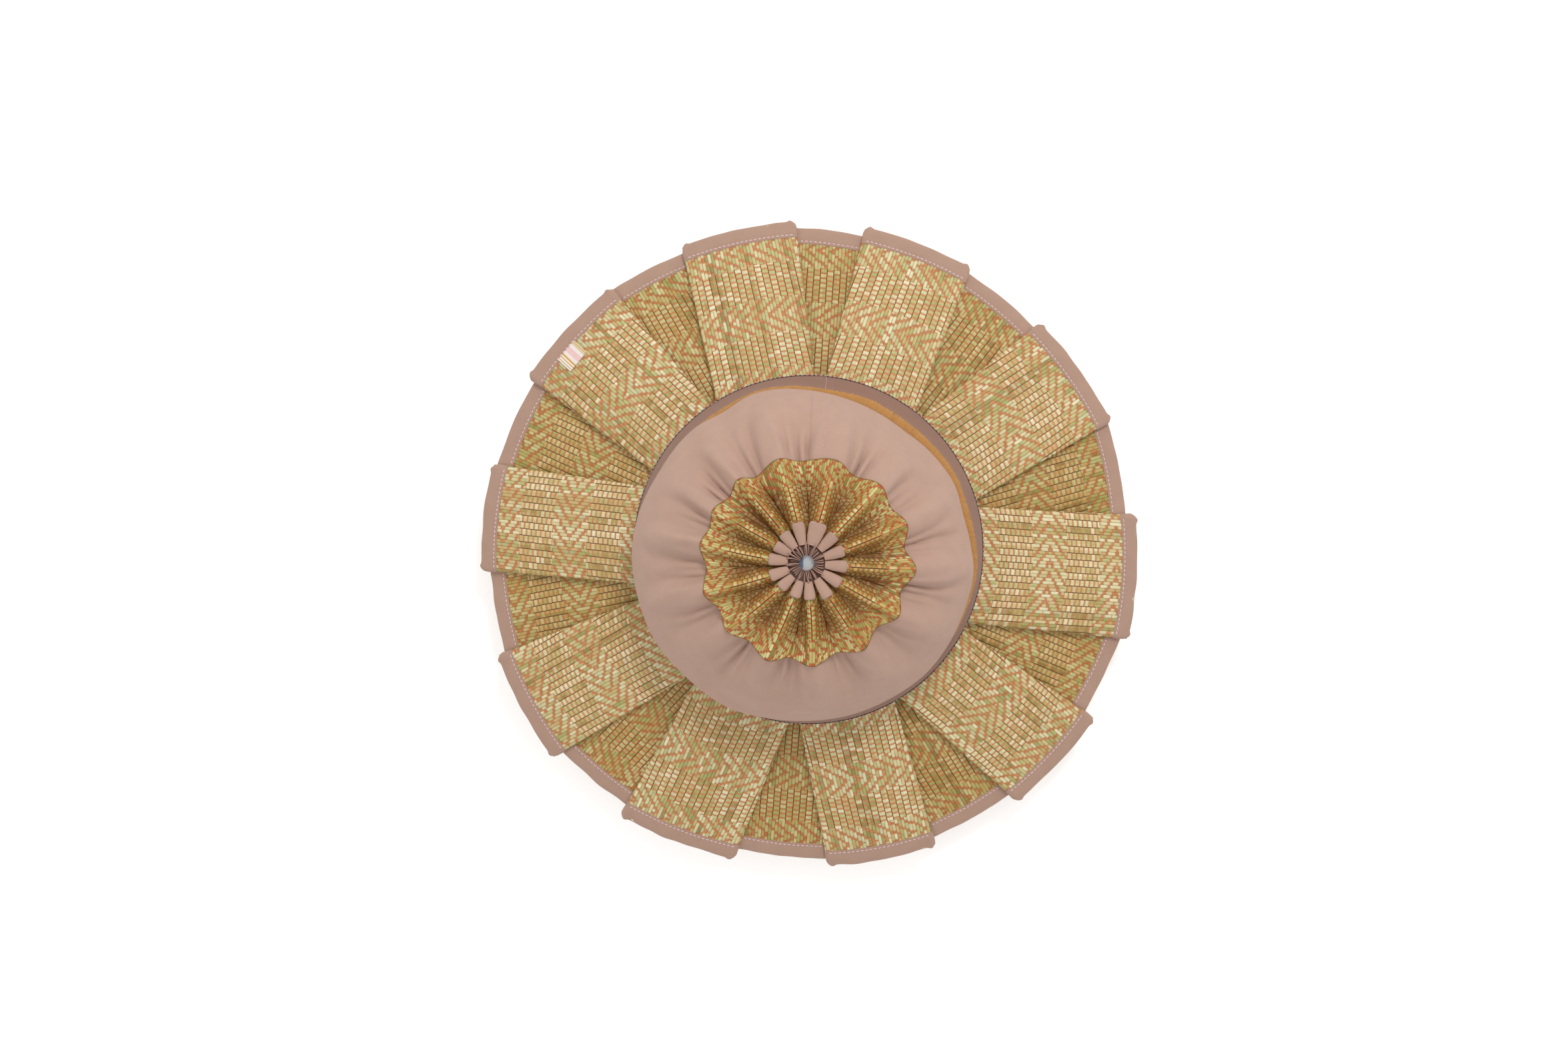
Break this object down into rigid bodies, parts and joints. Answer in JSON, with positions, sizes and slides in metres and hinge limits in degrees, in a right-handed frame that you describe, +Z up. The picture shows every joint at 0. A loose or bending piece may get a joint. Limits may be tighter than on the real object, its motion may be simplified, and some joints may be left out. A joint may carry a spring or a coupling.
{
  "type": "folding sun hat",
  "caption": "Folding sun hat of woven reed mat: box-pleated brim, cotton twill crown band and gathered pleated crown top with a cotton-bound centre.",
  "frame": {"origin": "on the resting plane (the low edge of the brim), below the centre of the crown", "axes": "+Z up through the crown's centre eye; +X and +Y lie in the brim's plane, and the woven label sits towards -X +Y"},
  "size_m": [0.3624, 0.3624, 0.1255],
  "materials": {
    "reed_mat": "matte woven reed",
    "cotton_tape": "matte cotton",
    "cotton_twill": "matte twill",
    "mustard_tape": "fuzzy overcast tape",
    "sweatband_cotton": "matte cotton",
    "gathering_thread": "waxed thread",
    "eye_disc": "satin",
    "label_ribbon": "satin ribbon"
  },
  "bodies": {
    "crown_base": {"crown_stand": "cotton_twill", "sweatband": "sweatband_cotton", "crown_welt_tape": "mustard_tape", "crown_band": "cotton_twill"},
    "crown_top": {"crown_mat": "reed_mat", "crown_rosette_binding": "cotton_tape", "crown_gathered_edge": "cotton_tape", "crown_drawn_thread": "gathering_thread", "crown_eye_disc": "eye_disc"},
    "brim_raised_01": {"raised_panel_01": "reed_mat", "raised_rim_tape_01": "cotton_tape"},
    "brim_recess_01": {"recessed_panel_01": "reed_mat", "recessed_rim_tape_01": "cotton_tape"},
    "brim_raised_02": {"raised_panel_02": "reed_mat", "raised_rim_tape_02": "cotton_tape"},
    "brim_recess_02": {"recessed_panel_02": "reed_mat", "recessed_rim_tape_02": "cotton_tape"},
    "brim_raised_03": {"raised_panel_03": "reed_mat", "raised_rim_tape_03": "cotton_tape"},
    "brim_recess_03": {"recessed_panel_03": "reed_mat", "recessed_rim_tape_03": "cotton_tape"},
    "brim_raised_04": {"raised_panel_04": "reed_mat", "raised_rim_tape_04": "cotton_tape"},
    "brim_recess_04": {"recessed_panel_04": "reed_mat", "recessed_rim_tape_04": "cotton_tape"},
    "brim_raised_05": {"raised_panel_05": "reed_mat", "raised_rim_tape_05": "cotton_tape"},
    "brim_recess_05": {"recessed_panel_05": "reed_mat", "recessed_rim_tape_05": "cotton_tape"},
    "brim_raised_06": {"raised_panel_06": "reed_mat", "raised_rim_tape_06": "cotton_tape"},
    "brim_recess_06": {"recessed_panel_06": "reed_mat", "recessed_rim_tape_06": "cotton_tape"},
    "brim_raised_07": {"raised_panel_07": "reed_mat", "raised_rim_tape_07": "cotton_tape"},
    "brim_recess_07": {"recessed_panel_07": "reed_mat", "recessed_rim_tape_07": "cotton_tape"},
    "brim_raised_08": {"raised_panel_08": "reed_mat", "raised_rim_tape_08": "cotton_tape"},
    "brim_recess_08": {"recessed_panel_08": "reed_mat", "recessed_rim_tape_08": "cotton_tape"},
    "brim_raised_09": {"raised_panel_09": "reed_mat", "raised_rim_tape_09": "cotton_tape"},
    "brim_recess_09": {"recessed_panel_09": "reed_mat", "recessed_rim_tape_09": "cotton_tape"},
    "brim_raised_10": {"raised_panel_10": "reed_mat", "raised_rim_tape_10": "cotton_tape"},
    "brim_recess_10": {"recessed_panel_10": "reed_mat", "recessed_rim_tape_10": "cotton_tape"},
    "label": {"woven_label": "label_ribbon"}
  },
  "joints": [
    {"name": "crown_press", "type": "slide", "parent": "crown_base", "child": "crown_top", "axis": [0, 0, 1], "range_m": [-0.03, 0], "deforming": ["crown_band"]},
    {"name": "brim_turn_raised_01", "type": "hinge", "parent": "crown_base", "child": "brim_raised_01", "pos_m": [-0.02282, 0.09325, 0.03188], "axis": [0.9713, 0.2377, 0], "range_deg": [-15, 25]},
    {"name": "brim_turn_recess_01", "type": "hinge", "parent": "crown_base", "child": "brim_recess_01", "pos_m": [-0.05016, 0.08185, 0.03188], "axis": [0.8526, 0.5225, 0], "range_deg": [-15, 25]},
    {"name": "brim_turn_raised_02", "type": "hinge", "parent": "crown_base", "child": "brim_raised_02", "pos_m": [0.03421, 0.0897, 0.03188], "axis": [0.9344, -0.3563, 0], "range_deg": [-15, 25]},
    {"name": "brim_turn_recess_02", "type": "hinge", "parent": "crown_base", "child": "brim_recess_02", "pos_m": [0.00649, 0.09578, 0.03188], "axis": [0.9977, -0.0676, 0], "range_deg": [-15, 25]},
    {"name": "brim_turn_raised_03", "type": "hinge", "parent": "crown_base", "child": "brim_raised_03", "pos_m": [0.08028, 0.05264, 0.03188], "axis": [0.5483, -0.8363, 0], "range_deg": [-15, 25]},
    {"name": "brim_turn_recess_03", "type": "hinge", "parent": "crown_base", "child": "brim_recess_03", "pos_m": [0.05976, 0.07513, 0.03188], "axis": [0.7826, -0.6225, 0], "range_deg": [-15, 25]},
    {"name": "brim_turn_raised_04", "type": "hinge", "parent": "crown_base", "child": "brim_raised_04", "pos_m": [0.09558, -0.00899, 0.03188], "axis": [-0.0937, -0.9956, 0], "range_deg": [-15, 25]},
    {"name": "brim_turn_recess_04", "type": "hinge", "parent": "crown_base", "child": "brim_recess_04", "pos_m": [0.09284, 0.02444, 0.03188], "axis": [0.2546, -0.967, 0], "range_deg": [-15, 25]},
    {"name": "brim_turn_raised_05", "type": "hinge", "parent": "crown_base", "child": "brim_raised_05", "pos_m": [0.07148, -0.06408, 0.03188], "axis": [-0.6675, -0.7446, 0], "range_deg": [-15, 25]},
    {"name": "brim_turn_recess_05", "type": "hinge", "parent": "crown_base", "child": "brim_recess_05", "pos_m": [0.08709, -0.04038, 0.03188], "axis": [-0.4206, -0.9072, 0], "range_deg": [-15, 25]},
    {"name": "brim_turn_raised_06", "type": "hinge", "parent": "crown_base", "child": "brim_raised_06", "pos_m": [0.02221, -0.0934, 0.03188], "axis": [-0.9729, -0.2313, 0], "range_deg": [-15, 25]},
    {"name": "brim_turn_recess_06", "type": "hinge", "parent": "crown_base", "child": "brim_recess_06", "pos_m": [0.04926, -0.0824, 0.03188], "axis": [-0.8583, -0.5132, 0], "range_deg": [-15, 25]},
    {"name": "brim_turn_raised_07", "type": "hinge", "parent": "crown_base", "child": "brim_raised_07", "pos_m": [-0.03886, -0.08779, 0.03188], "axis": [-0.9144, 0.4047, 0], "range_deg": [-15, 25]},
    {"name": "brim_turn_recess_07", "type": "hinge", "parent": "crown_base", "child": "brim_recess_07", "pos_m": [-0.00795, -0.09567, 0.03188], "axis": [-0.9966, 0.0828, 0], "range_deg": [-15, 25]},
    {"name": "brim_turn_raised_08", "type": "hinge", "parent": "crown_base", "child": "brim_raised_08", "pos_m": [-0.08261, -0.0489, 0.03188], "axis": [-0.5094, 0.8605, 0], "range_deg": [-15, 25]},
    {"name": "brim_turn_recess_08", "type": "hinge", "parent": "crown_base", "child": "brim_recess_08", "pos_m": [-0.06455, -0.07106, 0.03188], "axis": [-0.7402, 0.6724, 0], "range_deg": [-15, 25]},
    {"name": "brim_turn_raised_09", "type": "hinge", "parent": "crown_base", "child": "brim_raised_09", "pos_m": [-0.09563, 0.00837, 0.03188], "axis": [0.0872, 0.9962, 0], "range_deg": [-15, 25]},
    {"name": "brim_turn_recess_09", "type": "hinge", "parent": "crown_base", "child": "brim_recess_09", "pos_m": [-0.09359, -0.02139, 0.03188], "axis": [-0.2228, 0.9749, 0], "range_deg": [-15, 25]},
    {"name": "brim_turn_raised_10", "type": "hinge", "parent": "crown_base", "child": "brim_raised_10", "pos_m": [-0.07176, 0.06377, 0.03188], "axis": [0.6643, 0.7475, 0], "range_deg": [-15, 25]},
    {"name": "brim_turn_recess_10", "type": "hinge", "parent": "crown_base", "child": "brim_recess_10", "pos_m": [-0.08812, 0.03809, 0.03188], "axis": [0.3967, 0.9179, 0], "range_deg": [-15, 25]},
    {"name": "label_flap", "type": "hinge", "parent": "brim_raised_10", "child": "label", "pos_m": [-0.13382, 0.10837, 0.01104], "axis": [-0.6293, -0.7771, 0], "range_deg": [0, 150]}
  ],
  "couplings": [
    {"joint": "brim_turn_recess_01", "follows": "brim_turn_raised_01", "ratio": 1},
    {"joint": "brim_turn_raised_02", "follows": "brim_turn_raised_01", "ratio": 1},
    {"joint": "brim_turn_recess_02", "follows": "brim_turn_raised_01", "ratio": 1},
    {"joint": "brim_turn_raised_03", "follows": "brim_turn_raised_01", "ratio": 1},
    {"joint": "brim_turn_recess_03", "follows": "brim_turn_raised_01", "ratio": 1},
    {"joint": "brim_turn_raised_04", "follows": "brim_turn_raised_01", "ratio": 1},
    {"joint": "brim_turn_recess_04", "follows": "brim_turn_raised_01", "ratio": 1},
    {"joint": "brim_turn_raised_05", "follows": "brim_turn_raised_01", "ratio": 1},
    {"joint": "brim_turn_recess_05", "follows": "brim_turn_raised_01", "ratio": 1},
    {"joint": "brim_turn_raised_06", "follows": "brim_turn_raised_01", "ratio": 1},
    {"joint": "brim_turn_recess_06", "follows": "brim_turn_raised_01", "ratio": 1},
    {"joint": "brim_turn_raised_07", "follows": "brim_turn_raised_01", "ratio": 1},
    {"joint": "brim_turn_recess_07", "follows": "brim_turn_raised_01", "ratio": 1},
    {"joint": "brim_turn_raised_08", "follows": "brim_turn_raised_01", "ratio": 1},
    {"joint": "brim_turn_recess_08", "follows": "brim_turn_raised_01", "ratio": 1},
    {"joint": "brim_turn_raised_09", "follows": "brim_turn_raised_01", "ratio": 1},
    {"joint": "brim_turn_recess_09", "follows": "brim_turn_raised_01", "ratio": 1},
    {"joint": "brim_turn_raised_10", "follows": "brim_turn_raised_01", "ratio": 1},
    {"joint": "brim_turn_recess_10", "follows": "brim_turn_raised_01", "ratio": 1}
  ]
}
